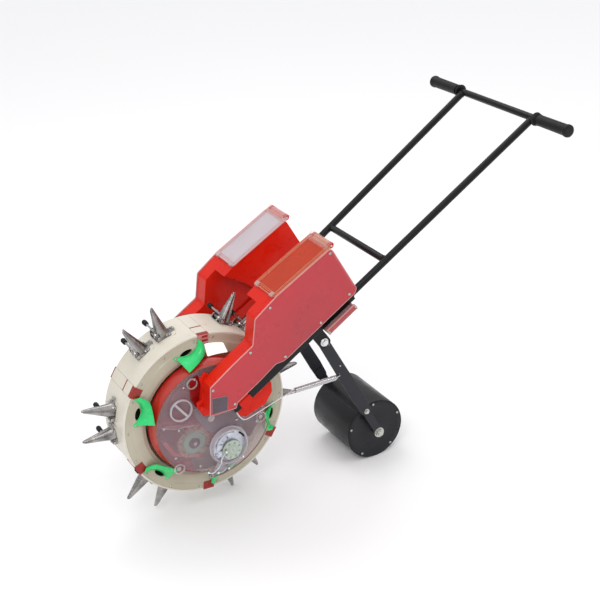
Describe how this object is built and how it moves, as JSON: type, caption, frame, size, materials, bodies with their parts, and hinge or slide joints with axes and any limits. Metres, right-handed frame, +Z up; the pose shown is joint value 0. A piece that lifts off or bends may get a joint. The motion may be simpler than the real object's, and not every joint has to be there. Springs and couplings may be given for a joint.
{
  "type": "push seeder",
  "caption": "Hand-pushed rolling seeder: spiked drum with hinged duckbill beaks, side hoppers with hinged lids, metering wheels, press roller on a sprung arm and a long T-bar handle.",
  "frame": {"origin": "centre of the bounding box on the ground", "axes": "+X backwards towards the handle, +Y to the far side, +Z up"},
  "size_m": [1.0924, 0.494, 0.7747],
  "materials": {
    "black_paint": "semi-gloss black paint",
    "grip_rubber": "ribbed matte black",
    "steel": "zinc plated",
    "beak_steel": "polished pressed steel",
    "red_plastic": "glossy moulded red",
    "hub_red": "glossy dark red",
    "clear_plate": "frosted clear over red",
    "clear_cover": "clear hub cover",
    "clear_lid": "clear moulded lid",
    "cream_plastic": "moulded cream",
    "beige_plastic": "translucent beige",
    "green_plastic": "glossy spring green",
    "white_clear": "milky clear",
    "pale_green": "moulded pale green",
    "roller_paint": "satin charcoal paint"
  },
  "bodies": {
    "root": {"grip_bar": "black_paint", "grip_near": "grip_rubber", "grip_far": "grip_rubber", "tube_near": "black_paint", "tube_far": "black_paint", "cross_tube": "black_paint", "rail_near": "black_paint", "rail_far": "black_paint", "axle": "steel", "hub_housing_near": "hub_red", "hub_housing_far": "hub_red", "hub_cover_near": "clear_cover", "hub_cover_far": "clear_cover", "hub_bracket_near": "red_plastic", "hub_bracket_far": "red_plastic", "hopper_near": "red_plastic", "hopper_far": "red_plastic", "side_plate_near": "clear_plate", "side_plate_far": "clear_plate", "lid_pins": "steel", "tube_guards": "clear_plate", "meter_cases": "white_clear", "inlet_plugs": "white_clear", "fasteners": "steel", "spring_rod": "steel"},
    "drum": {"drum_rim": "cream_plastic", "side_disc_near": "beige_plastic", "side_disc_far": "beige_plastic", "drum_web": "cream_plastic", "red_blocks": "hub_red", "seed_guides": "green_plastic", "beaks": "beak_steel", "beak_pins": "steel", "drum_screws": "steel"},
    "meter_near": {"meter_rotor_near": "pale_green"},
    "meter_far": {"meter_rotor_far": "pale_green"},
    "brush_near": {"brush_rotor_near": "pale_green"},
    "brush_far": {"brush_rotor_far": "pale_green"},
    "lid_near": {"lid_near": "clear_lid"},
    "lid_far": {"lid_far": "clear_lid"},
    "arm": {"arm_near": "roller_paint", "arm_far": "roller_paint", "roller_axle": "steel", "arm_nuts": "steel", "tension_spring": "steel"},
    "roller": {"roller_shell": "roller_paint", "roller_ends": "roller_paint"},
    "jaw_1": {"jaw_1": "beak_steel"},
    "jaw_2": {"jaw_2": "beak_steel"},
    "jaw_3": {"jaw_3": "beak_steel"},
    "jaw_4": {"jaw_4": "beak_steel"},
    "jaw_5": {"jaw_5": "beak_steel"},
    "jaw_6": {"jaw_6": "beak_steel"},
    "jaw_7": {"jaw_7": "beak_steel"},
    "jaw_8": {"jaw_8": "beak_steel"},
    "jaw_9": {"jaw_9": "beak_steel"},
    "jaw_10": {"jaw_10": "beak_steel"},
    "jaw_11": {"jaw_11": "beak_steel"},
    "jaw_12": {"jaw_12": "beak_steel"}
  },
  "joints": [
    {"name": "drum_spin", "type": "hinge", "parent": "root", "child": "drum", "pos_m": [-0.28627, 0, 0.24993], "axis": [0, -1, 0], "continuous": true},
    {"name": "meter_spin_near", "type": "hinge", "parent": "root", "child": "meter_near", "pos_m": [-0.24915, -0.06, 0.16248], "axis": [0, -1, 0], "continuous": true},
    {"name": "brush_spin_near", "type": "hinge", "parent": "root", "child": "brush_near", "pos_m": [-0.32805, -0.06, 0.20014], "axis": [0, -1, 0], "continuous": true},
    {"name": "lid_hinge_near", "type": "hinge", "parent": "root", "child": "lid_near", "pos_m": [0.00073, -0.095, 0.59493], "axis": [0, 1, 0], "range_deg": [0, 100]},
    {"name": "meter_spin_far", "type": "hinge", "parent": "root", "child": "meter_far", "pos_m": [-0.24915, 0.06, 0.16248], "axis": [0, -1, 0], "continuous": true},
    {"name": "brush_spin_far", "type": "hinge", "parent": "root", "child": "brush_far", "pos_m": [-0.32805, 0.06, 0.20014], "axis": [0, -1, 0], "continuous": true},
    {"name": "lid_hinge_far", "type": "hinge", "parent": "root", "child": "lid_far", "pos_m": [0.00073, 0.095, 0.59493], "axis": [0, 1, 0], "range_deg": [0, 100]},
    {"name": "arm_hinge", "type": "hinge", "parent": "root", "child": "arm", "pos_m": [-0.01559, 0, 0.36199], "axis": [0, 1, 0], "range_deg": [0, 18], "stiffness_Nm_per_rad": 2, "springref_deg": 28.65, "deforming": ["tension_spring"]},
    {"name": "roller_spin", "type": "hinge", "parent": "arm", "child": "roller", "pos_m": [0.12333, 0, 0.074], "axis": [0, -1, 0], "continuous": true},
    {"name": "jaw_hinge_1", "type": "hinge", "parent": "drum", "child": "jaw_1", "pos_m": [-0.16024, 0.008, 0.40347], "axis": [0, -1, 0], "range_deg": [0, 20], "stiffness_Nm_per_rad": 0.5, "springref_deg": -17.19},
    {"name": "jaw_hinge_2", "type": "hinge", "parent": "drum", "child": "jaw_2", "pos_m": [-0.20872, 0.008, 0.43281], "axis": [0, -1, 0], "range_deg": [0, 20], "stiffness_Nm_per_rad": 0.5, "springref_deg": -17.19},
    {"name": "jaw_hinge_3", "type": "hinge", "parent": "drum", "child": "jaw_3", "pos_m": [-0.35623, 0.008, 0.43585], "axis": [0, -1, 0], "range_deg": [0, 20], "stiffness_Nm_per_rad": 0.5, "springref_deg": -17.19},
    {"name": "jaw_hinge_4", "type": "hinge", "parent": "drum", "child": "jaw_4", "pos_m": [-0.40587, 0.008, 0.40853], "axis": [0, -1, 0], "range_deg": [0, 20], "stiffness_Nm_per_rad": 0.5, "springref_deg": -17.19},
    {"name": "jaw_hinge_5", "type": "hinge", "parent": "drum", "child": "jaw_5", "pos_m": [-0.48226, 0.008, 0.2823], "axis": [0, -1, 0], "range_deg": [0, 20], "stiffness_Nm_per_rad": 0.5, "springref_deg": -17.19},
    {"name": "jaw_hinge_6", "type": "hinge", "parent": "drum", "child": "jaw_6", "pos_m": [-0.48343, 0.008, 0.22565], "axis": [0, -1, 0], "range_deg": [0, 20], "stiffness_Nm_per_rad": 0.5, "springref_deg": -17.19},
    {"name": "jaw_hinge_7", "type": "hinge", "parent": "drum", "child": "jaw_7", "pos_m": [-0.4123, 0.008, 0.09638], "axis": [0, -1, 0], "range_deg": [0, 20], "stiffness_Nm_per_rad": 0.5, "springref_deg": -17.19},
    {"name": "jaw_hinge_8", "type": "hinge", "parent": "drum", "child": "jaw_8", "pos_m": [-0.36382, 0.008, 0.06705], "axis": [0, -1, 0], "range_deg": [0, 20], "stiffness_Nm_per_rad": 0.5, "springref_deg": -17.19},
    {"name": "jaw_hinge_9", "type": "hinge", "parent": "drum", "child": "jaw_9", "pos_m": [-0.21631, 0.008, 0.06401], "axis": [0, -1, 0], "range_deg": [0, 20], "stiffness_Nm_per_rad": 0.5, "springref_deg": -17.19},
    {"name": "jaw_hinge_10", "type": "hinge", "parent": "drum", "child": "jaw_10", "pos_m": [-0.16667, 0.008, 0.09132], "axis": [0, -1, 0], "range_deg": [0, 20], "stiffness_Nm_per_rad": 0.5, "springref_deg": -17.19},
    {"name": "jaw_hinge_11", "type": "hinge", "parent": "drum", "child": "jaw_11", "pos_m": [-0.09028, 0.008, 0.21755], "axis": [0, -1, 0], "range_deg": [0, 20], "stiffness_Nm_per_rad": 0.5, "springref_deg": -17.19},
    {"name": "jaw_hinge_12", "type": "hinge", "parent": "drum", "child": "jaw_12", "pos_m": [-0.08911, 0.008, 0.27421], "axis": [0, -1, 0], "range_deg": [0, 20], "stiffness_Nm_per_rad": 0.5, "springref_deg": -17.19}
  ],
  "couplings": [
    {"joint": "meter_spin_near", "follows": "drum_spin", "ratio": 6.4286},
    {"joint": "brush_spin_near", "follows": "drum_spin", "ratio": 2.3684},
    {"joint": "meter_spin_far", "follows": "drum_spin", "ratio": 6.4286},
    {"joint": "brush_spin_far", "follows": "drum_spin", "ratio": 2.3684}
  ]
}
